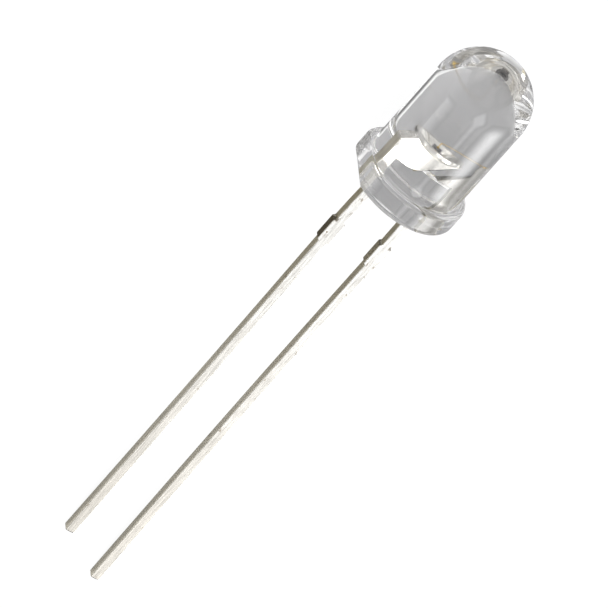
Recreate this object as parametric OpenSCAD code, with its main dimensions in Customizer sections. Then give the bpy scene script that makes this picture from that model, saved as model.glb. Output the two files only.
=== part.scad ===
// Clear 5 mm phototransistor with two square leads, in millimetres.
// Each piece is drawn upright, with the seat on z = 0, the dome towards +z and the leads
// spread along x. lay_down() then turns it to lie on its flange and both lead tips.

/* [Lens body] */
// Diameter of the barrel
barrel_d = 5.0; // [4.8:0.05:5.2]
// Height from the seat to the top of the dome
body_h = 8.8; // [8.2:0.1:9.2]
// Diameter of the flange round the foot of the barrel
flange_d = 5.9; // [5.7:0.05:6.2]
// Thickness of the flange
flange_h = 1.35; // [1:0.05:1.5]
// How far the flange's flat side stands out from the barrel
flat_out = 0.05; // [0.02:0.01:0.15]
// Radius of the fillet between the flange and the barrel
root_r = 0.22; // [0.1:0.02:0.26]
// Radius of the flange's two outer edges
rim_r = 0.22; // [0.05:0.01:0.25]
// Height of the ring of resin that climbs each lead under the seat
meniscus_h = 0.1; // [0.05:0.01:0.2]
// Width of that ring where it leaves the seat, beyond the lead's corner
meniscus_w = 0.2; // [0.12:0.01:0.3]
// Width of that ring at its lower end
meniscus_end_w = 0.05; // [0.03:0.01:0.08]

/* [Leads] */
// Distance between the two leads' centre lines
pitch = 2.54; // [2.4:0.02:2.7]
// Width of a lead across the strip
lead_w = 0.47; // [0.4:0.01:0.6]
// Thickness of the strip that both leads are stamped from
strip_t = 0.45; // [0.4:0.01:0.6]
// Length of the collector lead, below the seat
collector_l = 24.9; // [24:0.1:26]
// Length of the emitter lead, below the seat
emitter_l = 26.6; // [26.1:0.1:28]
// Size of the bevels round each lead's tip
tip_bevel = 0.1; // [0.05:0.01:0.15]
// Distance from the seat down to the stubs of the cut tie bar
stub_drop = 2.8; // [2.4:0.05:3.4]
// Length of a stub along the lead
stub_l = 1.45; // [1.2:0.05:1.8]
// How far a stub stands out from the lead's side
stub_out = 0.1; // [0.06:0.01:0.2]
// Length of the slope at each end of a stub
stub_slope = 0.1; // [0.05:0.01:0.2]

/* [Collector head] */
// Height of the cup's rim above the seat
cup_z = 3.58; // [3.4:0.02:3.8]
// Outer diameter of the cup
cup_d = 1.72; // [1.6:0.02:1.8]
// Height of the cup's upright outer wall
cup_band_h = 0.22; // [0.16:0.01:0.26]
// Height of the cone that blends the cup into the strip
cup_blend_h = 0.16; // [0.1:0.01:0.2]
// How far that cone steps in from the cup's wall
cup_blend_in = 0.24; // [0.15:0.01:0.3]
// Diameter of the cup's mouth
mouth_d = 1.4; // [1.3:0.02:1.5]
// Diameter of the cup's flat floor
floor_d = 0.86; // [0.76:0.02:0.96]
// Depth of the cup
cup_depth = 0.29; // [0.26:0.01:0.32]
// Height of the head's underside above the seat, beside the lead
web_z = 1.85; // [1.7:0.01:2]
// Radius of the curve from that underside into the slope
web_r = 0.8; // [0.5:0.05:0.9]
// Radius of the fillet between the underside and the lead
crotch_r = 0.1; // [0.05:0.01:0.2]
// Height at which the head starts to slope in from the lead's outer side
shoulder_z = 2.8; // [2.6:0.05:3]
// Angle of the slope that both heads share, from the horizontal
slope_a = 54.6; // [50:0.2:58]

/* [Emitter head] */
// Width of the slot between the two slopes, measured along x
slot_w = 0.54; // [0.46:0.01:0.6]
// Height of the head's underside above the seat
flag_z = 2.17; // [2:0.01:2.3]
// Height of the post's top above the seat
post_z = 3.82; // [3.7:0.01:3.9]
// Width of the post's top
post_w = 0.28; // [0.22:0.01:0.34]

/* [Chip and bond wire] */
// Width of the square chip
chip_w = 0.3; // [0.26:0.01:0.34]
// How far the chip lies turned on the cup's floor, from square with the leads
chip_turn = -27; // [-45:1:45]
// Thickness of the chip
chip_h = 0.23; // [0.2:0.01:0.26]
// Thickness of the adhesive under the chip
glue_h = 0.02; // [0.01:0.005:0.03]
// How far the adhesive climbs the chip's sides
glue_climb = 0.04; // [0.02:0.005:0.06]
// How far the adhesive spreads past the chip's corners
glue_spread = 0.05; // [0.03:0.01:0.07]
// Diameter of the bond wire
wire_d = 0.03; // [0.025:0.001:0.035]
// How much thinner the wire's neck is drawn, between the ball and the loop
neck_draw = 0.002; // [0.001:0.0005:0.004]
// Diameter of the ball bond on the chip
ball_d = 0.09; // [0.08:0.005:0.11]
// Height of the ball bond
ball_h = 0.05; // [0.04:0.005:0.06]
// Height of the wire's upright start above the chip
neck_h = 0.26; // [0.2:0.01:0.3]
// Radius of the bend at the top of that start
bend_r = 0.06; // [0.05:0.01:0.1]
// Angle at which the loop leaves the bend, from the horizontal
loop_a = 18; // [15:1:25]
// Diameter of the stitch bond on the post
stitch_d = 0.13; // [0.11:0.005:0.15]
// Height of the stitch bond
stitch_h = 0.035; // [0.03:0.001:0.04]

/* [Hidden] */
$fn = 96;

barrel_r = barrel_d / 2;
flange_r = flange_d / 2;
dome_z = body_h - barrel_r; // where the barrel ends and the hemisphere begins
flat_x = barrel_r + flat_out;
corner_r = norm([lead_w, strip_t]) / 2; // from a lead's centre line to its corner
past = 0.5; // how far a cutting shape runs past what it cuts
lap_a = 2; // degrees by which the neck's bend runs on inside the loop
wire_sides = 12; // the wire is so thin that its section is drawn as a polygon
settle_rounds = 12; // by then the lying pose no longer changes

// Both heads' edges, along x
inner_x = (pitch - lead_w) / 2;
outer_x = (pitch + lead_w) / 2;
post_x = outer_x - post_w;

// The slope runs down from the foot of the cup's wall. These give x at a height, and the height at x.
under_z = cup_z - cup_band_h;
function slope_x(z) = cup_d / 2 - (under_z - z) / tan(slope_a);
function slope_z(x) = under_z - (cup_d / 2 - x) * tan(slope_a);

// Chip and wire heights
floor_z = cup_z - cup_depth;
chip_z = floor_z + glue_h;
chip_top = chip_z + chip_h;

// The wire's route in the plane of the leads: up, round the bend, and over in one arc to the stitch
stitch = [outer_x - post_w / 2, post_z + wire_d / 2];
knee = [bend_r, chip_top + neck_h];
function on_arc(centre, r, heading) = centre + r * [-sin(heading), cos(heading)];
loop_start = on_arc(knee, bend_r, loop_a);
chord = stitch - loop_start;
chord_a = atan2(chord.y, chord.x);
loop_turn = loop_a - chord_a;
loop_r = norm(chord) / (2 * sin(loop_turn));
loop_centre = loop_start - loop_r * [-sin(loop_a), cos(loop_a)];
loop_end_a = chord_a - loop_turn;

// The lying pose. The part touches the table with its flange's lower edge and with both leads
// where their tip bevels begin, so the table's tilt s (a sine) solves s = next_tilt(s).
reach = emitter_l - tip_bevel;
skew = (emitter_l - collector_l) / pitch;
rim_centre_r = flange_r - rim_r;
function side_part(s) = sqrt(1 - s * s - pow(skew * s, 2));
function next_tilt(s) =
    (rim_centre_r * sqrt(1 - s * s) + rim_r - strip_t / 2 * side_part(s))
    / (reach + rim_r - skew * inner_x);
function settle(s, rounds) = rounds < 1 ? s : settle(next_tilt(s), rounds - 1);
tilt_sine = settle(0, settle_rounds);
roll = atan2(skew * tilt_sine, side_part(tilt_sine));
table_a = 90 + roll; // where round the flange the table touches it, from +x

// Turns an upright piece to lie with the dome towards +x, the collector on the +y side
// and the seat's centre at the origin.
module lay_down() {
    rotate([-roll, -asin(tilt_sine), 0])
        rotate([-90, 0, -90])
            children();
}

// The corner left between two walls and a circle that touches both
module fillet_profile(r) {
    difference() {
        square(r);
        translate([r, r]) circle(r);
    }
}

// ---- Lens body ----

module flange_profile() {
    square([rim_centre_r, flange_h]);
    translate([0, rim_r]) square([flange_r, flange_h - 2 * rim_r]);
    for (z = [rim_r, flange_h - rim_r]) {
        translate([rim_centre_r, z]) circle(rim_r);
    }
}

module dome_profile() {
    intersection() {
        translate([0, dome_z]) circle(barrel_r);
        translate([0, dome_z]) square(barrel_r);
    }
}

module body_profile() {
    flange_profile();
    square([barrel_r, dome_z]);
    dome_profile();
    translate([barrel_r, flange_h]) fillet_profile(root_r);
}

// Resin drawn a little way down one lead from the seat
module meniscus() {
    translate([0, 0, -meniscus_h])
        cylinder(h = meniscus_h, r1 = corner_r + meniscus_end_w, r2 = corner_r + meniscus_w);
}

// The turned shape's seam lies where the flange touches the table.
module moulding() {
    difference() {
        rotate([0, 0, table_a]) rotate_extrude() body_profile();
        translate([-flat_x - flange_r, -flange_r, -past])
            cube([flange_r, flange_d, flange_h + root_r + 2 * past]);
    }
}

// The moulding is cast round the metal, so it is hollow exactly where the metal lies.
module lens_body() {
    color([0.9, 0.91, 0.93, 0.35]) lay_down() {
        difference() {
            union() {
                moulding();
                for (side = [-1, 1]) {
                    translate([side * pitch / 2, 0, 0]) meniscus();
                }
            }
            collector_shape();
            emitter_shape();
            die_attach_shape();
            chip_shape();
            wire_shape();
        }
    }
}

// ---- Leads ----

// An outline in x and z, stamped from the strip
module stamped(thickness) {
    rotate([90, 0, 0])
        linear_extrude(height = thickness, center = true)
            children();
}

// A straight leg's outline from its bevelled tip up to the seat
module leg_profile(width, length) {
    half = width / 2;
    polygon([
        [-half, 0], [-half, tip_bevel - length], [tip_bevel - half, -length],
        [half - tip_bevel, -length], [half, tip_bevel - length], [half, 0]
    ]);
}

// What is left of the tie bar on both sides of a leg
module stub_profile() {
    outer = lead_w / 2 + stub_out;
    top = -stub_drop;
    bottom = top - stub_l;
    polygon([
        [-lead_w / 2, top], [-outer, top - stub_slope],
        [-outer, bottom + stub_slope], [-lead_w / 2, bottom],
        [lead_w / 2, bottom], [outer, bottom + stub_slope],
        [outer, top - stub_slope], [lead_w / 2, top]
    ]);
}

module leg(length) {
    intersection() {
        stamped(strip_t) leg_profile(lead_w, length);
        rotate([0, 0, 90]) stamped(lead_w) leg_profile(strip_t, length);
    }
    stamped(strip_t) stub_profile();
}

// Rounds the corner where a level edge from the left turns up into the slope
module web_curve(corner) {
    tangent = web_r * tan(slope_a / 2);
    start = corner - [tangent, 0];
    finish = corner + tangent * [cos(slope_a), sin(slope_a)];
    centre = start + [0, web_r];
    difference() {
        polygon([start, corner, finish, centre]);
        translate(centre) circle(web_r);
    }
}

module collector_head_profile() {
    corner = [slope_x(web_z), web_z];
    difference() {
        polygon([
            [-outer_x, 0], [-outer_x, shoulder_z], [-cup_d / 2, under_z],
            [cup_d / 2, under_z], corner, [-inner_x, web_z], [-inner_x, 0]
        ]);
        web_curve(corner);
    }
    translate([-inner_x, web_z]) mirror([0, 1]) fillet_profile(crotch_r);
}

// The coined cup on top of the strip: an upright wall, a blend below it and a conical hollow
module cup() {
    difference() {
        union() {
            translate([0, 0, under_z]) cylinder(h = cup_band_h, d = cup_d);
            translate([0, 0, under_z - cup_blend_h])
                cylinder(h = cup_blend_h, d1 = cup_d - 2 * cup_blend_in, d2 = cup_d);
        }
        cup_hollow();
    }
}

// Runs on upwards at the same slope, so that the rim is cut clean
module cup_hollow() {
    flare = (mouth_d - floor_d) / cup_depth;
    translate([0, 0, floor_z])
        cylinder(h = 2 * cup_depth, d1 = floor_d, d2 = floor_d + 2 * cup_depth * flare);
}

module collector_shape() {
    translate([-pitch / 2, 0, 0]) leg(collector_l);
    difference() {
        stamped(strip_t) collector_head_profile();
        cup_hollow();
    }
    cup();
}

module emitter_shape() {
    translate([pitch / 2, 0, 0]) leg(emitter_l);
    stamped(strip_t) polygon([
        [inner_x, 0], [inner_x, flag_z], [slope_x(flag_z) + slot_w, flag_z],
        [post_x, slope_z(post_x - slot_w)], [post_x, post_z], [outer_x, post_z], [outer_x, 0]
    ]);
}

module collector_lead() {
    color([0.82, 0.80, 0.76]) lay_down() collector_shape();
}

module emitter_lead() {
    color([0.80, 0.78, 0.73]) lay_down() emitter_shape();
}

// ---- Chip, adhesive and bond wire ----

module chip_shape() {
    rotate([0, 0, chip_turn])
        translate([-chip_w / 2, -chip_w / 2, chip_z]) cube([chip_w, chip_w, chip_h]);
}

module photo_chip() {
    color([0.16, 0.15, 0.17]) lay_down() chip_shape();
}

// A low mound of adhesive with the chip pressed into it
module die_attach_shape() {
    chip_corner_r = chip_w * sqrt(2) / 2;
    difference() {
        translate([0, 0, floor_z])
            cylinder(h = glue_h + glue_climb, r1 = chip_corner_r + glue_spread, r2 = chip_corner_r);
        chip_shape();
    }
}

module die_attach() {
    color([0.72, 0.72, 0.72]) lay_down() die_attach_shape();
}

// A length of wire bent to radius r, from one heading down to another, both from the horizontal
module wire_arc(centre, r, from_a, to_a, d) {
    translate([centre.x, 0, centre.y])
        rotate([90, 0, 0])
            rotate([0, 0, to_a + 90])
                rotate_extrude(angle = from_a - to_a)
                    translate([r, 0]) circle(d = d, $fn = wire_sides);
}

// The squashed ball that the wire starts from
module ball_bond() {
    translate([0, 0, chip_top + ball_h / 2])
        intersection() {
            sphere(d = ball_d);
            cube([ball_d, ball_d, ball_h], center = true);
        }
}

// The wire's end, pressed to a low cap on the post
module stitch_bond() {
    cap_r = (pow(stitch_d / 2, 2) + pow(stitch_h, 2)) / (2 * stitch_h);
    translate([stitch.x, 0, post_z])
        intersection() {
            translate([0, 0, stitch_h - cap_r]) sphere(cap_r);
            translate([-stitch_d, -stitch_d, 0]) cube([2 * stitch_d, 2 * stitch_d, 2 * stitch_h]);
        }
}

module wire_shape() {
    neck_d = wire_d - neck_draw;
    ball_bond();
    translate([0, 0, chip_top + ball_h / 2])
        cylinder(h = neck_h - ball_h / 2, d = neck_d, $fn = wire_sides);
    wire_arc(knee, bend_r, 90, loop_a - lap_a, neck_d);
    wire_arc(loop_centre, loop_r, loop_a, loop_end_a, wire_d);
    stitch_bond();
}

module bond_wire() {
    color([0.85, 0.65, 0.25]) lay_down() wire_shape();
}

lens_body();
collector_lead();
emitter_lead();
photo_chip();
die_attach();
bond_wire();
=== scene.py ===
"""A clear 5 mm phototransistor lying on a pale studio floor."""

import logging
import math
from dataclasses import dataclass, field
from enum import Enum
from functools import partial, reduce

import bmesh
import bpy
import numpy as np
from mathutils import Matrix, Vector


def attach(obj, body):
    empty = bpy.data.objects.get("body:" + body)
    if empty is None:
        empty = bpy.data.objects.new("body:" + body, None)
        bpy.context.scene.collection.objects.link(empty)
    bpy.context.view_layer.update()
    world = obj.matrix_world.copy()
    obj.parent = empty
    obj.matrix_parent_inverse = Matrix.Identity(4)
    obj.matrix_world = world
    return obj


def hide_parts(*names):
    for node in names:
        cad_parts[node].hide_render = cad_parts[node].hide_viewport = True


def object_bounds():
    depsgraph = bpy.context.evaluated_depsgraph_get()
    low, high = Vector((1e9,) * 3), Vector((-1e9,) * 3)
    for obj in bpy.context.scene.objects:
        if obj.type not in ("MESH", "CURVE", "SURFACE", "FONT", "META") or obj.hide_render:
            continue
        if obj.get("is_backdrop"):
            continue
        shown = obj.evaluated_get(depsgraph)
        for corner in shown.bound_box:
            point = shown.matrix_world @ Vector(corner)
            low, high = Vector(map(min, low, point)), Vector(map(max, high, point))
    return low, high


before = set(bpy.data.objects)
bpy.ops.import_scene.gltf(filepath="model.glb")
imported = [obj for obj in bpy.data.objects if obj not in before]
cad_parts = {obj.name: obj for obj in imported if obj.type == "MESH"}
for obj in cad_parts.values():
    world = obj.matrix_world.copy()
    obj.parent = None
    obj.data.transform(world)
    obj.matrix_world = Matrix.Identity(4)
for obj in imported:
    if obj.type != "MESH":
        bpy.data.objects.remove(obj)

MM = 0.001
FULL_TURN = 2.0 * math.pi
IMAGE_PX = 608
BARE = "bare_steel"

log = logging.getLogger("phototransistor")


# ---- Sizes and pose ----


@dataclass(frozen=True)
class LeadSizes:
    """The stamped strip's driving sizes, in millimetres, as in the solids."""

    pitch: float = 2.54
    width: float = 0.47
    strip_t: float = 0.45
    collector_l: float = 24.9
    emitter_l: float = 26.6
    tip_bevel: float = 0.1
    stub_drop: float = 2.8
    stub_out: float = 0.1


@dataclass(frozen=True)
class CastingSizes:
    """The clear casting's driving sizes, in millimetres, as in the solids."""

    barrel_r: float = 2.5
    body_h: float = 8.8
    flange_r: float = 2.95
    flange_h: float = 1.35
    flat_out: float = 0.05
    root_r: float = 0.22
    rim_r: float = 0.22
    meniscus_h: float = 0.1
    meniscus_w: float = 0.2


@dataclass(frozen=True)
class LyingPose:
    """How the upright part is turned to lie on its flange and on both lead tips."""

    leads: LeadSizes = field(default_factory=LeadSizes)
    casting: CastingSizes = field(default_factory=CastingSizes)
    settle_rounds: int = 12

    def turn(self) -> np.ndarray:
        """Works out the turn from the upright frame to the lying one.

        The table touches the flange's rim and both tips, so the sine s of its tilt
        solves s = (rim height less half the strip) / (reach of the longer lead), and
        the tips' unequal lengths give the roll.

        Returns:
            The 3 x 3 rotation matrix.
        """
        lead, cast = self.leads, self.casting
        skew = (lead.emitter_l - lead.collector_l) / lead.pitch
        centre_r = cast.flange_r - cast.rim_r
        reach = lead.emitter_l - lead.tip_bevel
        inner_x = (lead.pitch - lead.width) / 2
        s = 0.0
        for _ in range(self.settle_rounds):
            side = math.sqrt(1 - s * s - (skew * s) ** 2)
            rise = centre_r * math.sqrt(1 - s * s) + cast.rim_r - lead.strip_t / 2 * side
            s = rise / (reach + cast.rim_r - skew * inner_x)
        roll = math.atan2(skew * s, math.sqrt(1 - s * s - (skew * s) ** 2))
        upright_to_row = np.array([[0.0, 0.0, 1.0], [-1.0, 0.0, 0.0], [0.0, -1.0, 0.0]])
        tilt_turn = np.array(Matrix.Rotation(-math.asin(s), 3, "Y"))
        roll_turn = np.array(Matrix.Rotation(-roll, 3, "X"))
        return tilt_turn @ roll_turn @ upright_to_row

    def place(self, upright_mm: np.ndarray) -> np.ndarray:
        """Turns upright points in millimetres into the lying frame in metres."""
        return upright_mm @ self.turn().T * MM


# ---- Meshes ----


def ring_grid_object(
    name: str, grid: np.ndarray, first: np.ndarray, last: np.ndarray
) -> bpy.types.Object:
    """Makes a closed skin from rings of points.

    Point (i, j) is row i of the profile at step j round the axis. Neighbouring rings are
    joined by quads, and a fan to one point closes each end.

    Args:
        name: The object's name.
        grid: Points in metres, rows x steps x 3, going round so that faces point outwards.
        first: The point that closes the first ring.
        last: The point that closes the last ring.

    Returns:
        The new object, shaded smooth and linked to the scene.
    """
    rows, steps, _ = grid.shape
    points = np.vstack([grid.reshape(-1, 3), first[None], last[None]])
    index = np.arange(rows * steps).reshape(rows, steps)
    onward = np.roll(index, -1, axis=1)
    quads = np.stack([index[:-1], onward[:-1], onward[1:], index[1:]], axis=-1).reshape(-1, 4)
    start, end = rows * steps, rows * steps + 1
    fan_start = np.stack([onward[0], index[0], np.full(steps, start)], axis=-1)
    fan_end = np.stack([index[-1], onward[-1], np.full(steps, end)], axis=-1)
    corners = np.concatenate([quads.ravel(), fan_start.ravel(), fan_end.ravel()])
    sizes = np.concatenate([np.full(len(quads), 4), np.full(2 * steps, 3)])
    mesh = bpy.data.meshes.new(name)
    mesh.vertices.add(len(points))
    mesh.vertices.foreach_set("co", points.astype(np.float32).ravel())
    mesh.loops.add(len(corners))
    mesh.loops.foreach_set("vertex_index", corners.astype(np.int32))
    mesh.polygons.add(len(sizes))
    starts = np.concatenate([[0], np.cumsum(sizes)[:-1]])
    mesh.polygons.foreach_set("loop_start", starts.astype(np.int32))
    mesh.update(calc_edges=True)
    mesh.validate()
    mesh.polygons.foreach_set("use_smooth", np.ones(len(mesh.polygons), bool))
    obj = bpy.data.objects.new(name, mesh)
    bpy.context.scene.collection.objects.link(obj)
    return obj


def arc(
    centre: tuple[float, float], radius: float, start_deg: float, end_deg: float, steps: int
) -> np.ndarray:
    """Points on a circle's arc: centre + radius * (cos a, sin a) for even steps of a."""
    a = np.radians(np.linspace(start_deg, end_deg, steps))
    return np.stack([centre[0] + radius * np.cos(a), centre[1] + radius * np.sin(a)], axis=-1)


def line(start: tuple[float, float], end: tuple[float, float], steps: int) -> np.ndarray:
    """Points on a straight line: start + t * (end - start) for even steps of t."""
    t = np.linspace(0.0, 1.0, steps)[:, None]
    return np.array(start) * (1 - t) + np.array(end) * t


# ---- Materials ----

Colour = tuple[float, float, float]
Band = tuple[float, float]
Socket = bpy.types.NodeSocket

# The part of a noise pattern's range in which most of its values lie
NOISE_BAND: Band = (0.3, 0.7)


def scaled(colour: Colour, share: float) -> Colour:
    """A colour scaled by one factor."""
    return tuple(share * channel for channel in colour)


class NodeSheet:
    """A node tree with short calls for adding and joining its nodes."""

    def __init__(self, tree: bpy.types.NodeTree) -> None:
        """Takes over the tree and empties it."""
        self.tree = tree
        self.tree.nodes.clear()

    def node(self, kind: str, inputs: dict | None = None, **settings: object) -> bpy.types.Node:
        """Adds a node.

        Args:
            kind: Blender's name for the node type.
            inputs: Socket name or number to a constant or to a socket to join.
            settings: The node's own properties.

        Returns:
            The node.
        """
        made = self.tree.nodes.new(kind)
        for key, value in settings.items():
            setattr(made, key, value)
        for key, value in (inputs or {}).items():
            if isinstance(value, Socket):
                self.tree.links.new(value, made.inputs[key])
            else:
                made.inputs[key].default_value = value
        return made

    def math(self, operation: str, a: object, b: object = 0.0) -> Socket:
        """One arithmetic step on two numbers or sockets."""
        return self.node("ShaderNodeMath", {0: a, 1: b}, operation=operation).outputs[0]

    def times(self, *factors: object) -> Socket:
        """The product of its factors."""
        return reduce(partial(self.math, "MULTIPLY"), factors)

    def plus(self, *terms: object) -> Socket:
        """The sum of its terms."""
        return reduce(partial(self.math, "ADD"), terms)

    def magnitude(self, value: Socket) -> Socket:
        """A number without its sign."""
        return self.math("ABSOLUTE", value)

    def length(self, a: Socket, b: Socket) -> Socket:
        """The length of a flat vector: root(a^2 + b^2)."""
        return self.math("SQRT", self.plus(self.times(a, a), self.times(b, b)))

    def range(self, value: Socket, band: Band, lo: float = 0.0, hi: float = 1.0) -> Socket:
        """Maps a value that runs over a band to one from lo to hi, held at the ends."""
        limits = {"From Min": band[0], "From Max": band[1], "To Min": lo, "To Max": hi}
        return self.node("ShaderNodeMapRange", {"Value": value, **limits}).outputs["Result"]

    def axes(self, vector: Socket) -> tuple[Socket, Socket, Socket]:
        """The x, y and z of a vector."""
        return tuple(self.node("ShaderNodeSeparateXYZ", {0: vector}).outputs)

    def dot(self, a: Socket, b: object) -> Socket:
        """How far one direction faces along another: their dot product."""
        made = self.node("ShaderNodeVectorMath", {0: a, 1: b}, operation="DOT_PRODUCT")
        return made.outputs["Value"]

    def blend(self, factor: Socket, first: Socket, second: Socket) -> Socket:
        """A shader between two others."""
        return self.node("ShaderNodeMixShader", {0: factor, 1: first, 2: second}).outputs[0]


class Shade(NodeSheet):
    """A material and its nodes."""

    def __init__(self, name: str) -> None:
        """Makes an empty material with an output."""
        self.material = bpy.data.materials.new(name)
        self.material.use_nodes = True
        super().__init__(self.material.node_tree)
        self.output = self.node("ShaderNodeOutputMaterial")

    def upright(self, pose: LyingPose) -> Socket:
        """Object coordinates turned back upright and counted in millimetres."""
        coords = self.node("ShaderNodeTexCoord").outputs["Object"]
        back = Matrix(pose.turn().T.tolist()).to_euler()
        inputs = {"Vector": coords, "Rotation": back, "Scale": (1 / MM,) * 3}
        return self.node("ShaderNodeMapping", inputs).outputs["Vector"]

    def stretched(self, vector: Socket, scale: tuple[float, float, float]) -> Socket:
        """Coordinates scaled by a factor on each axis."""
        return self.node("ShaderNodeMapping", {"Vector": vector, "Scale": scale}).outputs["Vector"]

    def noise(self, vector: Socket, scale: float = 1.0, detail: float = 3.0) -> Socket:
        """A noise pattern from 0 to 1."""
        inputs = {"Vector": vector, "Scale": scale, "Detail": detail}
        return self.node("ShaderNodeTexNoise", inputs).outputs["Fac"]

    def mix(self, factor: Socket, a: object, b: object) -> Socket:
        """A colour between a and b, which are colours or sockets."""
        made = self.node("ShaderNodeMix", data_type="RGBA")
        self.tree.links.new(factor, made.inputs[0])
        for place, value in ((6, a), (7, b)):
            if isinstance(value, Socket):
                self.tree.links.new(value, made.inputs[place])
            else:
                made.inputs[place].default_value = (*value, 1)
        return made.outputs[2]

    def bump(self, height: Socket, strength: object, distance_mm: float) -> Socket:
        """A bumped normal."""
        inputs = {"Height": height, "Strength": strength, "Distance": distance_mm * MM}
        return self.node("ShaderNodeBump", inputs).outputs["Normal"]

    def finish(self, shader: Socket) -> bpy.types.Material:
        """Joins the shader to the output and gives the material."""
        self.tree.links.new(shader, self.output.inputs["Surface"])
        return self.material

    def surface(self, inputs: dict) -> bpy.types.Material:
        """Finishes the material as one solid surface."""
        return self.finish(self.node("ShaderNodeBsdfPrincipled", inputs).outputs[0])


@dataclass(frozen=True)
class ClearEpoxy:
    """Water-clear cast epoxy with faint flow marks.

    Shadow rays pass straight through it, so that the lamps reach the metal inside.
    """

    ior: float = 1.56
    roughness: float = 0.015
    tint: Colour = (0.982, 0.98, 0.978)
    shadow: Colour = (0.95, 0.95, 0.95)
    flow_scale: tuple[float, float, float] = (0.9, 0.9, 0.35)
    ripple: float = 0.35
    ripple_mm: float = 0.004

    def material(self, pose: LyingPose) -> bpy.types.Material:
        """Builds the material."""
        shade = Shade("clear_epoxy")
        flow = shade.noise(shade.stretched(shade.upright(pose), self.flow_scale), detail=2.0)
        clear = shade.node(
            "ShaderNodeBsdfPrincipled",
            {
                "Base Color": (*self.tint, 1),
                "Roughness": self.roughness,
                "IOR": self.ior,
                "Transmission Weight": 1.0,
                "Normal": shade.bump(flow, self.ripple, self.ripple_mm),
            },
        )
        through = shade.node("ShaderNodeBsdfTransparent", {"Color": (*self.shadow, 1)})
        is_shadow = shade.node("ShaderNodeLightPath").outputs["Is Shadow Ray"]
        return shade.finish(shade.blend(is_shadow, clear.outputs[0], through.outputs[0]))


@dataclass(frozen=True)
class Mark:
    """A round mark on the leads' faces: its middle (x, z), its radius in millimetres and its depth."""

    middle: tuple[float, float]
    radius: float
    depth: float


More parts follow.
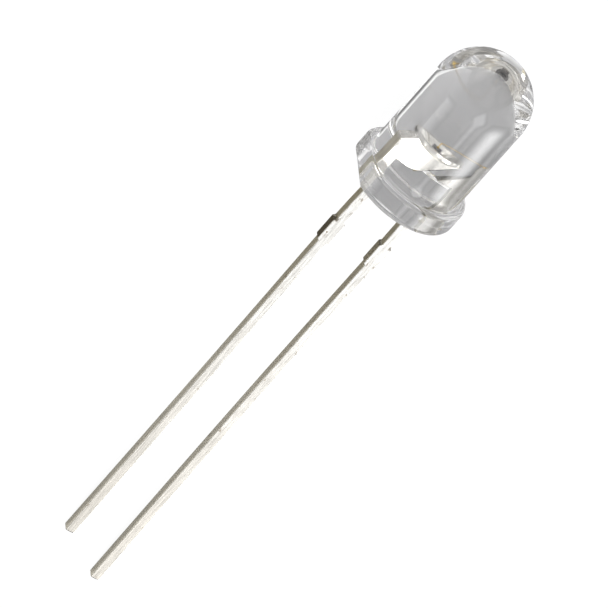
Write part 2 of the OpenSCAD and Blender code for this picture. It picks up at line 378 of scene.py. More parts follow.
@dataclass(frozen=True)
class TinnedSteel:
    """Tin-plated stamped strip: bright rolled faces, khaki sheared sides and bare brown stubs.

    A band says where a change starts and where it is complete.
    """

    leads: LeadSizes = field(default_factory=LeadSizes)
    polish: float = 1.0

    # Colours: faces in the casting, in the air and near the tips, the last one painted shade and also
    # the tarnish's base, then the sheared sides
    face: Colour = (0.93, 0.91, 0.865)
    aired: Colour = (0.77, 0.765, 0.745)
    tarnish_and_tip_shade: Colour = (0.66, 0.63, 0.575)
    side: Colour = (0.68, 0.64, 0.53)
    dull_side: Colour = (0.47, 0.42, 0.29)
    bare: Colour = (0.075, 0.055, 0.028)
    dirt: Colour = (0.20, 0.15, 0.09)

    # Heights of each change along the lead, in millimetres above the seat
    leaves_resin: Band = (0.15, -0.1)
    # Painted shade: over this band the faces darken towards the tips
    shades_towards_tips: Band = (-2.0, -22.0)
    tarnishes: Band = (0.5, -0.5)
    side_clears_down: Band = (-3.0, -14.0)
    side_clears_up: Band = (-0.2, 0.2)
    side_ends: Band = (2.6, 2.9)
    highlit_above_seat: Band = (0.0, 0.4)
    smooths: Band = (-0.5, 0.3)
    dulls_in_resin: Band = (0.0, 0.6)

    # Which way a sheared side faces, and how much painted highlight the inner ones get in the casting
    sideways: Band = (0.35, 0.95)
    inward: Band = (0.0, 0.3)
    near_axis: Band = (-0.5, 0.5)
    inner_highlight_share: float = 0.65

    # Streaks along the lead, mottled tarnish and specks
    streak_scale: tuple[float, float, float] = (9.0, 9.0, 0.5)
    mottle_scale: tuple[float, float, float] = (3.0, 3.0, 1.4)
    speck_scale: tuple[float, float, float] = (6.0, 6.0, 3.0)
    speck_band: Band = (0.68, 0.74)
    tarnish_depth: float = 0.5
    tarnish_shade: float = 0.75
    side_shine: float = 1.25
    speck_depth: float = 0.6

    # Relief and roughness, and the share of them and of the tarnish that is left in the casting
    relief_mm: float = 0.008
    relief: Band = (0.3, 0.08)
    mottle_relief: float = 0.8
    roughness: float = 0.17
    left_in_resin: float = 0.1
    streak_band: Band = (0.25, 0.75)
    rough_streaks: float = 0.14
    rough_side: float = 0.2
    rough_cut: float = 0.2
    rough_resin: float = 0.04

    # The painted shade in the crease above the stubs, their ragged cut ends and the marks near them
    crease_height: Band = (0.17, 0.05)
    crease_side: Band = (0.19, 0.235)
    crease_scale: float = 5.0
    crease_noise: Band = (0.42, 0.52)
    crease_depth: float = 0.8
    grit_scale: float = 9.0
    cut_grit: float = 0.3
    cut_edge: Band = (0.5, 0.9)
    cut_depth: float = 0.85
    marks: tuple[Mark, ...] = (Mark((-1.53, -3.63), 0.065, 0.95), Mark((-1.47, -3.85), 0.17, 0.25))

    def stub_cut(self, shade: Shade, upright: Socket, sheared: Socket) -> Socket:
        """Where the tie bar was cut off and the steel is bare: 1 on the stubs' ends, ragged."""
        speckle = shade.noise(upright, self.grit_scale, detail=4.0)
        grit = shade.range(speckle, NOISE_BAND, -self.cut_grit, self.cut_grit)
        bare = shade.node("ShaderNodeAttribute", attribute_name=BARE).outputs["Fac"]
        return shade.times(shade.range(shade.plus(bare, grit), self.cut_edge), sheared)

    def crease_shade(self, shade: Shade, upright: Socket) -> Socket:
        """Painted shade: the dark crease across each lead's edges where its stubs begin."""
        x, _, z = shade.axes(upright)
        from_top = shade.magnitude(shade.plus(z, self.leads.stub_drop))
        beside = shade.magnitude(shade.math("SUBTRACT", shade.magnitude(x), self.leads.pitch / 2))
        broken = shade.range(shade.noise(upright, self.crease_scale), self.crease_noise)
        edge = shade.times(shade.range(beside, self.crease_side), broken)
        return shade.times(shade.range(from_top, self.crease_height), edge)

    def spots(self, shade: Shade, upright: Socket) -> Socket:
        """One dark speck and a faint stain below it, on the face of the collector's stub."""
        x, _, z = shade.axes(upright)
        found = []
        for mark in self.marks:
            across, along = (shade.math("SUBTRACT", axis, at) for axis, at in zip((x, z), mark.middle))
            fade = (mark.radius, mark.radius / 2)
            found.append(shade.range(shade.length(across, along), fade, 0.0, mark.depth))
        return shade.math("MAXIMUM", *found)

    def sheared(self, shade: Shade, pose: LyingPose, x: Socket, height: Socket) -> Socket:
        """How much of the sheared sides' look a point has.

        It is 1 where the surface faces sideways, nothing in the cup, and less on the faces in the
        casting that look towards the other lead, which take the bright face colour as a painted
        highlight.
        """
        sideways = (pose.turn() @ np.array([1.0, 0.0, 0.0])).tolist()
        normal = shade.node("ShaderNodeNewGeometry").outputs["Normal"]
        across = shade.dot(normal, sideways)
        cut = shade.range(shade.magnitude(across), self.sideways)
        cut = shade.times(cut, shade.range(height, self.side_ends, 1.0, 0.0))
        middle = shade.range(x, self.near_axis, 1.0, -1.0)
        # Painted highlight: inner faces in the casting take the bright face colour
        inner = shade.times(
            shade.range(shade.times(across, middle), self.inward), shade.range(height, self.highlit_above_seat)
        )
        return shade.times(cut, shade.math("SUBTRACT", 1.0, shade.times(inner, self.inner_highlight_share)))

    def material(self, pose: LyingPose) -> bpy.types.Material:
        """Builds the material."""
        shade = Shade("tinned_steel")
        upright = shade.upright(pose)
        x, _, height = shade.axes(upright)
        sheared = self.sheared(shade, pose, x, height)
        streak = shade.noise(shade.stretched(upright, self.streak_scale), detail=4.0)
        mottle = shade.noise(shade.stretched(upright, self.mottle_scale), detail=5.0)
        specks = shade.noise(shade.stretched(upright, self.speck_scale), detail=2.0)
        cut = self.stub_cut(shade, upright, sheared)

        polished = scaled(self.face, self.polish)
        face = shade.mix(shade.range(height, self.leaves_resin), polished, self.aired)
        # Painted shade: the faces darken towards the tips, where the lamps' highlight fades
        face = shade.mix(shade.range(height, self.shades_towards_tips), face, self.tarnish_and_tip_shade)
        exposed = shade.range(height, self.tarnishes, self.left_in_resin)
        tarnish = shade.times(shade.range(mottle, NOISE_BAND), exposed, self.tarnish_depth)
        face = shade.mix(tarnish, face, scaled(self.tarnish_and_tip_shade, self.tarnish_shade))
        shine = scaled(self.side, self.side_shine)
        lit_side = shade.mix(shade.range(streak, NOISE_BAND), self.side, shine)
        further_down = shade.range(height, self.side_clears_down)
        clean = shade.math("MAXIMUM", further_down, shade.range(height, self.side_clears_up))
        colour = shade.mix(sheared, face, shade.mix(clean, self.dull_side, lit_side))
        # Painted shade in the crease where the stubs begin
        crease_shade = shade.times(self.crease_shade(shade, upright), self.crease_depth)
        colour = shade.mix(crease_shade, colour, self.bare)
        colour = shade.mix(self.spots(shade, upright), colour, self.dirt)
        specks = shade.times(shade.range(specks, self.speck_band), self.speck_depth)
        colour = shade.mix(specks, colour, self.dirt)
        colour = shade.mix(shade.times(cut, self.cut_depth), colour, self.bare)

        in_air = shade.range(height, self.smooths, 1.0, self.left_in_resin)
        rough = shade.plus(
            shade.times(shade.range(streak, self.streak_band, 0.0, self.rough_streaks), in_air),
            self.roughness,
            shade.times(sheared, self.rough_side),
            shade.range(height, self.dulls_in_resin, 0.0, self.rough_resin),
            shade.times(cut, self.rough_cut),
        )
        grain = shade.plus(streak, shade.times(mottle, self.mottle_relief))
        strength = shade.range(height, self.smooths, *self.relief)
        relief = shade.bump(grain, strength, self.relief_mm)
        return shade.surface(
            {"Base Color": colour, "Metallic": 1.0, "Roughness": rough, "Normal": relief}
        )


@dataclass(frozen=True)
class Silicon:
    """A dark light-sensitive chip with a bright scribed border and a bond pad in the middle."""

    dark: Colour = (0.05, 0.045, 0.066)
    metal: Colour = (0.72, 0.7, 0.66)
    width: float = 0.3
    turn_deg: float = -27.0
    top_z: float = 3.54
    border_inner: Band = (0.022, 0.018)
    border_outer: Band = (0.006, 0.009)
    pad_r: Band = (0.075, 0.07)
    top_depth: Band = (0.012, 0.004)
    grain_scale: float = 20.0
    grain_gain: float = 1.8
    roughness: Band = (0.2, 0.32)
    ior: float = 3.0

    def material(self, pose: LyingPose) -> bpy.types.Material:
        """Builds the material. The pattern lies on the chip's top, squared to its sides.

        The border's limits are distances in from the chip's edge, in millimetres.
        """
        shade = Shade("silicon")
        upright = shade.upright(pose)
        turned = {"Vector": upright, "Rotation": (0.0, 0.0, -math.radians(self.turn_deg))}
        squared = shade.node("ShaderNodeMapping", turned).outputs["Vector"]
        x, y, z = (shade.magnitude(axis) for axis in shade.axes(squared))
        edge = shade.math("MAXIMUM", x, y)
        half = self.width / 2
        limits = (tuple(half - d for d in band) for band in (self.border_inner, self.border_outer))
        border = shade.times(*(shade.range(edge, band) for band in limits))
        pad = shade.range(shade.length(x, y), self.pad_r)
        on_top = shade.range(z, tuple(self.top_z - d for d in self.top_depth))
        bright = shade.times(shade.math("MAXIMUM", border, pad), on_top)
        grain = shade.noise(upright, self.grain_scale)
        body = shade.mix(grain, self.dark, scaled(self.dark, self.grain_gain))
        return shade.surface(
            {
                "Base Color": shade.mix(bright, body, self.metal),
                "Metallic": bright,
                "Roughness": shade.range(grain, NOISE_BAND, *self.roughness),
                "IOR": self.ior,
            }
        )


@dataclass(frozen=True)
class GrainyMetal:
    """A metallic surface with a fine grain: drawn gold, or adhesive filled with silver."""

    name: str
    colour: Colour
    grain_scale: float
    dark_share: float
    metallic: float
    roughness: float
    relief: float
    relief_mm: float

    def material(self, pose: LyingPose) -> bpy.types.Material:
        """Builds the material."""
        shade = Shade(self.name)
        grain = shade.noise(shade.upright(pose), self.grain_scale)
        return shade.surface(
            {
                "Base Color": shade.mix(grain, self.colour, scaled(self.colour, self.dark_share)),
                "Metallic": self.metallic,
                "Roughness": self.roughness,
                "Normal": shade.bump(grain, self.relief, self.relief_mm),
            }
        )


SILVER_ADHESIVE = GrainyMetal(
    name="silver_adhesive",
    colour=(0.62, 0.61, 0.6),
    grain_scale=60.0,
    dark_share=0.7,
    metallic=0.7,
    roughness=0.6,
    relief=0.6,
    relief_mm=0.004,
)
GOLD_WIRE = GrainyMetal(
    name="gold_wire",
    colour=(0.90, 0.66, 0.25),
    grain_scale=40.0,
    dark_share=0.85,
    metallic=1.0,
    roughness=0.25,
    relief=0.3,
    relief_mm=0.001,
)


# ---- The clear casting ----


@dataclass
class ClearCasting:
    """The moulded epoxy body: a flanged barrel with a dome, a flat and resin drawn onto the leads.

    The flange's root fillet is taller than in the solids and its foot rounder.
    """

    pose: LyingPose
    finish: ClearEpoxy = field(default_factory=ClearEpoxy)
    steps_round: int = 288
    pinhole_r: float = 0.05
    hub_r: float = 0.7
    seat_r: float = 1.9
    root_rise: float = 0.8
    foot_r: float = 0.36
    dome_end_deg: float = 89.2
    corner_soft: float = 0.03
    least_facing: float = 0.05
    resin_spread: float = 1.4

    def outline(self, angle: np.ndarray) -> np.ndarray:
        """The flange's radius at each angle.

        The smooth lesser of the round rim and of the flat, which is a line at a fixed
        distance on the collector's side: (a + b - root((a - b)^2 + k^2)) / 2.
        """
        sizes = self.pose.casting
        facing = np.maximum(-np.cos(angle), self.least_facing)
        flat = (sizes.barrel_r + sizes.flat_out) / facing
        rim = np.full_like(angle, sizes.flange_r)
        return (rim + flat - np.sqrt((rim - flat) ** 2 + self.corner_soft**2)) / 2

    def profile(self) -> np.ndarray:
        """The section from the middle of the seat, round the flange and up to the dome.

        Returns:
            Rows of (radius, height), in millimetres.
        """
        s = self.pose.casting
        foot_in = s.flange_r - self.foot_r
        rim_in, rim_low = s.flange_r - s.rim_r, s.flange_h - s.rim_r
        root_out, root_top = s.barrel_r + s.root_r, s.flange_h + self.root_rise
        dome_z = s.body_h - s.barrel_r
        root = arc((root_out, s.root_r), s.root_r, 270, 180, 16)
        root[:, 1] = s.flange_h + root[:, 1] * self.root_rise / s.root_r
        parts = [
            line((self.pinhole_r, 0.0), (self.hub_r, 0.0), 8),
            line((self.hub_r, 0.0), (self.seat_r, 0.0), 50),
            line((self.seat_r, 0.0), (foot_in, 0.0), 12),
            arc((foot_in, self.foot_r), self.foot_r, -90, 0, 17),
            line((s.flange_r, self.foot_r), (s.flange_r, rim_low), 10),
            arc((rim_in, rim_low), s.rim_r, 0, 90, 13),
            line((rim_in, s.flange_h), (root_out, s.flange_h), 5),
            root,
            line((s.barrel_r, root_top), (s.barrel_r, dome_z), 26),
            arc((0.0, dome_z), s.barrel_r, 0, self.dome_end_deg, 72),
        ]
        return np.vstack([parts[0], *(part[1:] for part in parts[1:])])

    def resin_rise(self, x: np.ndarray, y: np.ndarray) -> np.ndarray:
        """How far resin is drawn down each lead.

        It is h * (1 - d / w)^2 at a distance d from the lead's side, and nothing past w.
        """
        leads, sizes = self.pose.leads, self.pose.casting
        spread = sizes.meniscus_w * self.resin_spread
        rise = np.zeros_like(x)
        for side in (-1, 1):
            out_x = np.maximum(np.abs(x - side * leads.pitch / 2) - leads.width / 2, 0.0)
            out_y = np.maximum(np.abs(y) - leads.strip_t / 2, 0.0)
            rise += sizes.meniscus_h * np.clip(1 - np.hypot(out_x, out_y) / spread, 0.0, 1.0) ** 2
        return rise

    def skin_points(self) -> np.ndarray:
        """Revolves the profile, draws it in to the flange's outline and adds the drawn resin.

        Where the outline lies in by d, a point of the flange's lower edge moves in by d, and the
        seat's outer ring shrinks with it. Above that edge a point at profile radius r past the
        barrel goes to barrel + (r - barrel) * (outline - barrel) / (flange - barrel).

        Returns:
            Upright points in millimetres, rows of the profile x steps round x 3.
        """
        s = self.pose.casting
        angle = np.linspace(0.0, FULL_TURN, self.steps_round, endpoint=False)
        section = self.profile()
        radius, height = section[:, 0][:, None], section[:, 1][:, None]
        inward = (s.flange_r - self.outline(angle))[None, :]
        squeeze = 1 - inward / (s.flange_r - s.barrel_r)
        upper = np.minimum(radius, s.barrel_r) + np.maximum(radius - s.barrel_r, 0.0) * squeeze
        share = np.clip((radius - self.seat_r) / (s.flange_r - self.foot_r - self.seat_r), 0.0, 1.0)
        reach = np.where(height < s.flange_h / 2, radius - inward * share, upper)
        x, y = reach * np.cos(angle), reach * np.sin(angle)
        z = np.broadcast_to(height, x.shape).copy()
        seat = np.broadcast_to(height == 0.0, x.shape)
        z[seat] -= self.resin_rise(x[seat], y[seat])
        return np.stack([x, y, z], axis=-1)

    def build(self) -> bpy.types.Object:
        """Makes the casting's skin and gives it its finish.

        Returns:
            The skin.
        """
        ends = np.array([[0.0, 0.0, 0.0], [0.0, 0.0, self.pose.casting.body_h]])
        grid = self.pose.place(self.skin_points())
        skin = ring_grid_object("clear_casting", grid, *self.pose.place(ends))
        skin.data.materials.append(self.finish.material(self.pose))
        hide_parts("lens_body")
        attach(skin, "root")
        log.info("clear casting: %d faces", len(skin.data.polygons))
        return skin


# ---- The leads, chip and wire ----


@dataclass(frozen=True)
class LeadTraits:
    """What sets one lead apart.

    Its solid's name, how far in millimetres it is askew near the stubs and its tip drifts,
    how bare its stubs are and how bright its faces are.
    """

    node: str
    askew: float
    drift: float
    bareness: float
    polish: float


class LeadKind(Enum):
    """The two leads."""

    COLLECTOR = LeadTraits("collector_lead", askew=-0.09, drift=0.04, bareness=1.0, polish=1.0)
    EMITTER = LeadTraits("emitter_lead", askew=0.055, drift=0.15, bareness=0.6, polish=0.68)


def read(items: bpy.types.bpy_prop_collection, name: str, width: int) -> np.ndarray:
    """Reads one property of a mesh's elements, as rows of so many numbers."""
    kind = np.int32 if name == "vertices" else np.float64
    values = np.empty(len(items) * width, dtype=kind)
    items.foreach_get(name, values)
    return values.reshape(-1, width)


@dataclass
class Lead:
    """One stamped lead, from its head to its tip, with rolled-over edges and a slight stray."""

    pose: LyingPose
    kind: LeadKind
    ring_gap: float = 0.6
    merge_mm: float = 1e-4
    flat_deg: float = 0.5
    askew_at: float = 0.14
    roll_over: float = 0.055
    roll_steps: int = 5
    right_share: float = 0.35
    front_y: float = 0.2
    along_rise: float = 0.04
    rolled_to: float = 3.0
    edge_r: float = 0.018
    edge_steps: int = 3
    edge_deg: float = 42.0
    square_cos: float = 0.998

    def stray(self, z: np.ndarray) -> np.ndarray:
        """How far the lead lies from straight, sideways.

        With s the drop below the seat as a share of the length, it is
        askew * (s / s0) * e^(1 - s / s0) + drift * s^2, which is greatest near the stubs
        and again at the tip.

        Args:
            z: Heights above the seat, in millimetres.

        Returns:
            The shift along x at each height.
        """
        traits = self.kind.value
        s = np.clip(-z / self.pose.leads.collector_l, 0.0, None)
        near = s / self.askew_at
        return traits.askew * near * np.exp(1 - near) + traits.drift * s**2

    def cut_mesh(self) -> bpy.types.Mesh:
        """Copies the solid's mesh, joins its triangles into faces and cuts rings across the leg."""
        name = self.kind.value.node
        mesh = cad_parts[name].data.copy()
        mesh.name = f"stamped_{name}"
        merge = self.merge_mm * MM
        work = bmesh.new()
        work.from_mesh(mesh)
        bmesh.ops.remove_doubles(work, verts=work.verts, dist=merge)
        bmesh.ops.dissolve_limit(
            work, angle_limit=math.radians(self.flat_deg), verts=work.verts, edges=work.edges
        )
        along = self.pose.turn() @ np.array([0.0, 0.0, 1.0])
        for drop in np.arange(self.ring_gap, self.pose.leads.emitter_l, self.ring_gap):
            everything = [*work.verts, *work.edges, *work.faces]
            at = (-along * drop * MM).tolist()
            bmesh.ops.bisect_plane(
                work, geom=everything, dist=merge, plane_co=at, plane_no=along.tolist()
            )
        work.to_mesh(mesh)
        work.free()
        return mesh

    def bare_stubs(self, mesh: bpy.types.Mesh, upright: np.ndarray) -> None:
        """Marks the points on the stubs, past the lead's side, as bare steel."""
        leads = self.pose.leads
        beside = np.abs(np.abs(upright[:, 0]) - leads.pitch / 2)
        on_stub = (beside > leads.width / 2 + leads.stub_out / 2) & (upright[:, 2] < 0.0)
        bare = mesh.attributes.new(BARE, "FLOAT", "POINT")
        bare.data.foreach_set("value", (on_stub * self.kind.value.bareness).astype(np.float32))

    def weigh_edges(self, mesh: bpy.types.Mesh, upright: np.ndarray) -> None:
        """Weighs the front edges that the stamping rolled over.

        They run along the lead on its front, fully on its left and by a share on its right.
        Inside the casting only the collector's left edges are rolled over.

        Args:
            mesh: The lead's mesh.
            upright: Its upright points, in millimetres.
        """
        ends = read(mesh.edges, "vertices", 2)
        start, stop = upright[ends[:, 0]], upright[ends[:, 1]]
        along = np.abs(start[:, 2] - stop[:, 2]) > self.along_rise
        front = np.maximum(start[:, 1], stop[:, 1]) < -self.front_y
        highest = np.maximum(start[:, 2], stop[:, 2])
        centre_x = self.pose.leads.pitch / 2 * np.sign(start[:, 0])
        left = start[:, 0] < centre_x
        share = np.where(left, 1.0, self.right_share)
        rolled = (highest < 0.0) | (left & (centre_x < 0.0) & (highest < self.rolled_to))
        weight = mesh.attributes.new("bevel_weight_edge", "FLOAT", "EDGE")
        weight.data.foreach_set("value", (share * (along & front & rolled)).astype(np.float32))

    def flatten_faces(self, mesh: bpy.types.Mesh) -> None:
        """Shades the faces square to the axes flat and the others smooth."""
        facing = np.abs(read(mesh.polygons, "normal", 3) @ self.pose.turn())
        square = facing.max(axis=1) > self.square_cos
        mesh.polygons.foreach_set("use_smooth", ~square)

    def round_edges(self, obj: bpy.types.Object) -> None:
        """Rolls the weighed edges over and breaks the other sharp ones."""
        rolled = obj.modifiers.new("rolled_edges", "BEVEL")
        rolled.limit_method, rolled.width = "WEIGHT", self.roll_over * MM
        rolled.segments, rolled.use_clamp_overlap = self.roll_steps, False
        broken = obj.modifiers.new("broken_edges", "BEVEL")
        broken.limit_method, broken.angle_limit = "ANGLE", math.radians(self.edge_deg)
        broken.width = self.edge_r * MM
        broken.segments, broken.use_clamp_overlap = self.edge_steps, False

    def build(self) -> bpy.types.Object:
        """Makes the lead: cut, set a little astray, its front edges rolled over and the rest broken.

        Returns:
            The lead.
        """
        mesh = self.cut_mesh()
        upright = read(mesh.vertices, "co", 3) / MM @ self.pose.turn()
        self.bare_stubs(mesh, upright)
        upright[:, 0] += self.stray(upright[:, 2])
        mesh.vertices.foreach_set("co", self.pose.place(upright).ravel())
        self.weigh_edges(mesh, upright)
        self.flatten_faces(mesh)
        mesh.materials.clear()
        mesh.materials.append(TinnedSteel(polish=self.kind.value.polish).material(self.pose))
        name = self.kind.value.node
        obj = bpy.data.objects.new(f"stamped_{name}", mesh)
        bpy.context.scene.collection.objects.link(obj)
        self.round_edges(obj)
        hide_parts(name)
        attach(obj, "root")
        log.info("%s: %d faces before its edges are broken", obj.name, len(mesh.polygons))
        return obj


@dataclass
class SmallParts:
    """The chip, its adhesive and the bond wire, whose solids only need a finish."""

    pose: LyingPose

    def dress(self) -> None:
        """Gives each piece its material."""
        finishes = {"photo_chip": Silicon(), "die_attach": SILVER_ADHESIVE, "bond_wire": GOLD_WIRE}
        for node, finish in finishes.items():
            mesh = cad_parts[node].data
            mesh.materials.clear()
            mesh.materials.append(finish.material(self.pose))
            log.info("%s: dressed", node)


# ---- Studio ----


def add_panel(name: str, corners: list, material: bpy.types.Material) -> bpy.types.Object:
    """Adds one four-cornered face to the stage, with a UV square over it."""
    mesh = bpy.data.meshes.new(name)
    mesh.from_pydata(corners, [], [(0, 1, 2, 3)])
    mesh.uv_layers.new(name="panel").data.foreach_set("uv", [0, 0, 1, 0, 1, 1, 0, 1])
    mesh.materials.append(material)
    obj = bpy.data.objects.new(name, mesh)
    bpy.context.scene.collection.objects.link(obj)
    obj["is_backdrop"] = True
    return obj


@dataclass(frozen=True)
class SoftPanel:
    """A glowing panel that is brightest in its middle and fades towards its edges.

    Directions are in the upright frame, as an angle round the optical axis and an angle
    above the seat plane.
    """

    name: str
    round_deg: float
    up_deg: float
    width: float
    height: float
    glow: float
    is_kite: bool = False
    softness: float = 0.6
    distance: float = 0.3

    def material(self) -> bpy.types.Material:
        """A glow of glow * f(u) * f(v), where f falls smoothly to nothing at each side's end.

        Light that the floor scatters through the casting is left to the casting's shadow
        colour, so it isn't counted twice.
        """
        shade = Shade(self.name)
        u, v, _ = shade.axes(shade.node("ShaderNodeTexCoord").outputs["UV"])
        strength = self.glow
        for place in (u, v):
            from_edge = shade.math("MINIMUM", place, shade.math("SUBTRACT", 1.0, place))
            fade = shade.node(
                "ShaderNodeMapRange",
                {"Value": from_edge, "From Min": 0.0, "From Max": self.softness / 2},
                interpolation_type="SMOOTHSTEP",
            )
            strength = shade.times(fade.outputs["Result"], strength)
        rays = shade.node("ShaderNodeLightPath").outputs
        scattered = shade.math("MINIMUM", rays["Diffuse Depth"], 1.0)
        twice = shade.times(rays["Is Transmission Ray"], scattered)
        strength = shade.times(strength, shade.math("SUBTRACT", 1.0, twice))
        return shade.finish(shade.node("ShaderNodeEmission", {"Strength": strength}).outputs[0])

    def build(self, pose: LyingPose) -> None:
        """Hangs the panel, facing the part."""
        a, e = math.radians(self.round_deg), math.radians(self.up_deg)
        flat = math.cos(e)
        direction = pose.turn() @ np.array([math.cos(a) * flat, math.sin(a) * flat, math.sin(e)])
        side = np.cross(pose.turn() @ np.array([0.0, 0.0, 1.0]), direction)
        side /= np.linalg.norm(side)
        up = np.cross(direction, side)
        across, over = side * self.width / 2, up * self.height / 2
        if self.is_kite:
            across, over = (across + over) / 2, (over - across) / 2
        signs = ((-1, -1), (1, -1), (1, 1), (-1, 1))
        corners = [(direction * self.distance + i * across + j * over).tolist() for i, j in signs]
        obj = add_panel(self.name, corners, self.material())
        obj.visible_camera = obj.visible_shadow = False


@dataclass(frozen=True)
class RoomPatch:
    """A soft round patch of the room, brighter or darker than the rest, for glass and metal alone.

    It has its full gain up to the inner cosine from its middle, and none past the outer one.
    """

    middle: tuple[float, float, float]
    inner: float
    outer: float
    gain: float


@dataclass
class Studio:
    """The floor, the lamps, the room's light and the camera."""

    pose: LyingPose
    floor_size: float = 3.0
    floor_paper: Colour = (0.8, 0.8, 0.8)
    floor_fade: Band = (0.02, 0.07)
    # Painted shade: the grey that glass and metal see on the floor near the part
    painted_shade_near: Colour = (0.485, 0.484, 0.49)
    floor_far: Colour = (1.0, 1.0, 1.0)
    floor_glow: float = 0.94
    floor_shadow: Colour = (0.11, 0.11, 0.11)
    panels: tuple[SoftPanel, ...] = (
        SoftPanel("key_panel", 320.0, -27.6, 0.28, 0.3, 7.4, softness=1.0),
        SoftPanel("low_panel", 190.0, -27.6, 0.26, 0.14, 3.0, softness=1.0),
        SoftPanel("top_panel", 271.0, -9.0, 0.2, 0.34, 3.2, is_kite=True),
    )
    room_light: float = 0.3
    room_colour: Colour = (0.98, 0.985, 1.0)
    room_grey: float = 0.55
    horizon: Band = (0.42, 0.1)
    overhead: tuple[float, float, float] = (-0.54, -0.36, 0.76)
    overhead_edge: Band = (0.75, 0.95)
    patches: tuple[RoomPatch, ...] = (
        RoomPatch((-0.42, -0.85, 0.31), 0.985, 0.965, 0.15),
        RoomPatch((-0.915, 0.12, 0.385), 0.96, 0.85, 1.8),
        RoomPatch((-0.09, -0.95, -0.3), 0.97, 0.87, 2.8),
    )
    fill_watts: float = 1.3
    fill_size: float = 0.4
    fill_height: float = 0.5
    lens_mm: float = 600.0
    sensor_mm: float = 36.0
    px_per_mm: float = 21.5
    seat_px: tuple[float, float] = (398.95, 191.4)
    axis_rise_deg: float = 48.4
    dome_lean_deg: float = 27.6
    turn_deg: float = 27.0
    clip_share: Band = (0.1, 20.0)
    bounces: int = 64
    diffuse_bounces: int = 4
    shadow_layers: int = 24

    def floor_material(self) -> bpy.types.Material:
        """A matte floor that is full white to the eye and keeps the part's shadow.

        Glass and metal see it without that glow, as matte paper with painted shade, grey near
        the part and white further off, so the casting looks grey inside on its white ground.
        """
        shade = Shade("floor_paper")
        rays = shade.node("ShaderNodeLightPath").outputs
        seen = shade.math("MAXIMUM", rays["Is Glossy Ray"], rays["Is Transmission Ray"])
        place = shade.node("ShaderNodeTexCoord").outputs["Object"]
        away = shade.node("ShaderNodeVectorMath", {0: place}, operation="LENGTH").outputs["Value"]
        # Painted shade near the part, fading to white further off
        spread = shade.mix(shade.range(away, self.floor_fade), self.painted_shade_near, self.floor_far)
        plain, soft = (
            shade.node("ShaderNodeBsdfDiffuse", {"Color": (*colour, 1)}).outputs[0]
            for colour in (self.floor_paper, self.floor_shadow)
        )
        in_glass = shade.node("ShaderNodeBsdfDiffuse", {"Color": spread}).outputs[0]
        glow = shade.node("ShaderNodeEmission", {"Color": (1, 1, 1, 1), "Strength": self.floor_glow})
        eye = shade.node("ShaderNodeAddShader", {0: soft, 1: glow.outputs[0]}).outputs[0]
        others = shade.blend(seen, plain, in_glass)
        return shade.finish(shade.blend(rays["Is Camera Ray"], others, eye))

    def floor(self) -> None:
        """Lays the floor under the part's lowest point."""
        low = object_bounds()[0].z
        half = self.floor_size / 2
        corners = [(-half, -half, low), (half, -half, low), (half, half, low), (-half, half, low)]
        add_panel("floor", corners, self.floor_material())

    def room(self) -> None:
        """Lights the part from all sides with the pale walls of the room.

        The eye sees a white backdrop. Glass and metal see white in a band along the horizon
        and in a broad patch overhead, and a greyer room between them, which the room's
        patches darken or brighten.
        """
        world = bpy.data.worlds.new("room")
        world.use_nodes = True
        sheet = NodeSheet(world.node_tree)

        rays = sheet.node("ShaderNodeLightPath").outputs
        way = sheet.node("ShaderNodeTexCoord").outputs["Generated"]
        to_white = 1 - self.room_grey
        low = sheet.range(sheet.axes(way)[2], self.horizon, 0.0, to_white)
        patch = sheet.range(sheet.dot(way, self.overhead), self.overhead_edge, 0.0, to_white)
        seen = sheet.plus(sheet.math("MAXIMUM", low, patch), self.room_grey)
        for spot in self.patches:
            toward = sheet.dot(way, spot.middle)
            seen = sheet.times(seen, sheet.range(toward, (spot.outer, spot.inner), 1.0, spot.gain))
        bare = sheet.math("MAXIMUM", rays["Is Glossy Ray"], rays["Is Transmission Ray"])
        looks = sheet.times(bare, sheet.math("LESS_THAN", rays["Diffuse Depth"], 0.5))
        light, shown, white = (
            sheet.node("ShaderNodeBackground", {"Color": colour, "Strength": strength}).outputs[0]
            for colour, strength in (
                ((*self.room_colour, 1), self.room_light),
                ((1, 1, 1, 1), seen),
                ((1, 1, 1, 1), 1.0),
            )
        )
        near = sheet.blend(looks, light, shown)
        last = sheet.blend(rays["Is Camera Ray"], near, white)
        sheet.node("ShaderNodeOutputWorld", {0: last})
        world.cycles.sampling_method = "NONE"
        bpy.context.scene.world = world

    def fill(self) -> None:
        """Hangs a broad soft light overhead, which leaves no reflection."""
        light = bpy.data.lights.new("overhead_fill", "AREA")
        light.shape, light.size, light.energy = "SQUARE", self.fill_size, self.fill_watts
        obj = bpy.data.objects.new("overhead_fill", light)
        obj.location = (0.0, 0.0, self.fill_height)
        obj.visible_camera = obj.visible_glossy = obj.visible_transmission = False
        bpy.context.scene.collection.objects.link(obj)

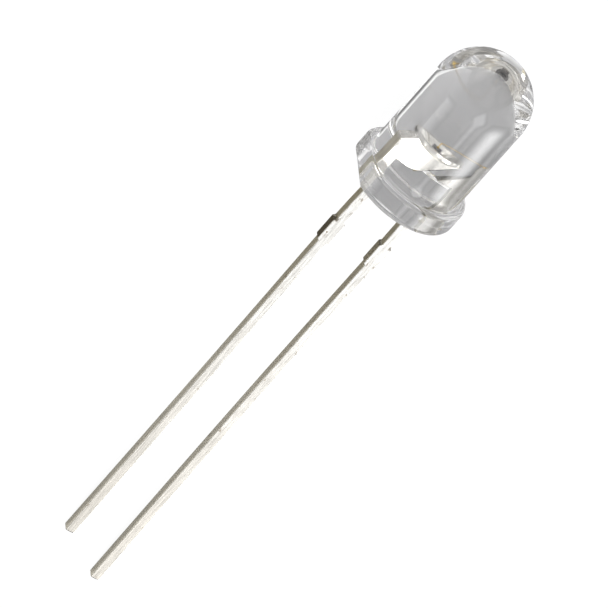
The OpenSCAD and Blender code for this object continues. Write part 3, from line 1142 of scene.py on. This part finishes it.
    def camera(self) -> None:
        """Sets the camera so that the part's seat and axis fall where they should in the frame."""
        t, r = math.radians(self.dome_lean_deg), math.radians(self.turn_deg)
        flat = math.cos(t)
        upright_view = np.array([-math.sin(r) * flat, -math.cos(r) * flat, math.sin(t)])
        turn = self.pose.turn()
        view = turn @ upright_view
        axis = turn @ np.array([0.0, 0.0, 1.0])
        along = axis - (axis @ view) * view
        along /= np.linalg.norm(along)
        beside = np.cross(along, view)
        a = math.radians(self.axis_rise_deg)
        right = along * math.cos(a) + beside * math.sin(a)
        up = along * math.sin(a) - beside * math.cos(a)
        from_middle = (self.seat_px[0] - IMAGE_PX / 2, IMAGE_PX / 2 - self.seat_px[1])
        target = -(from_middle[0] * right + from_middle[1] * up) / self.px_per_mm * MM
        data = bpy.data.cameras.new("camera")
        data.lens, data.sensor_width = self.lens_mm, self.sensor_mm
        distance = data.lens / data.sensor_width * IMAGE_PX / self.px_per_mm * MM
        obj = bpy.data.objects.new("camera", data)
        place = Matrix(np.column_stack([right, up, view]).tolist()).to_4x4()
        place.translation = (target + view * distance).tolist()
        obj.matrix_world = place
        data.clip_start, data.clip_end = (distance * share for share in self.clip_share)
        bpy.context.scene.collection.objects.link(obj)
        bpy.context.scene.camera = obj
        log.info("camera at %.0f mm, view %s", distance / MM, np.round(view, 3))

    def render_settings(self) -> None:
        """Sets how light is followed through the clear casting."""
        scene = bpy.context.scene
        scene.view_settings.view_transform = "Standard"
        cycles = scene.cycles
        cycles.max_bounces = cycles.transmission_bounces = cycles.glossy_bounces = self.bounces
        cycles.diffuse_bounces = self.diffuse_bounces
        cycles.transparent_max_bounces = self.shadow_layers
        cycles.caustics_reflective = False
        cycles.use_denoising = True

    def build(self) -> None:
        """Sets up the studio."""
        self.floor()
        self.room()
        for panel in self.panels:
            panel.build(self.pose)
        self.fill()
        self.camera()
        self.render_settings()


def main() -> None:
    """Builds the part and its studio."""
    logging.basicConfig(level=logging.INFO, format="%(name)s: %(message)s")
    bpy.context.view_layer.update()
    pose = LyingPose()
    ClearCasting(pose).build()
    for kind in LeadKind:
        Lead(pose, kind).build()
    SmallParts(pose).dress()
    Studio(pose).build()


if __name__ == "__main__":
    main()
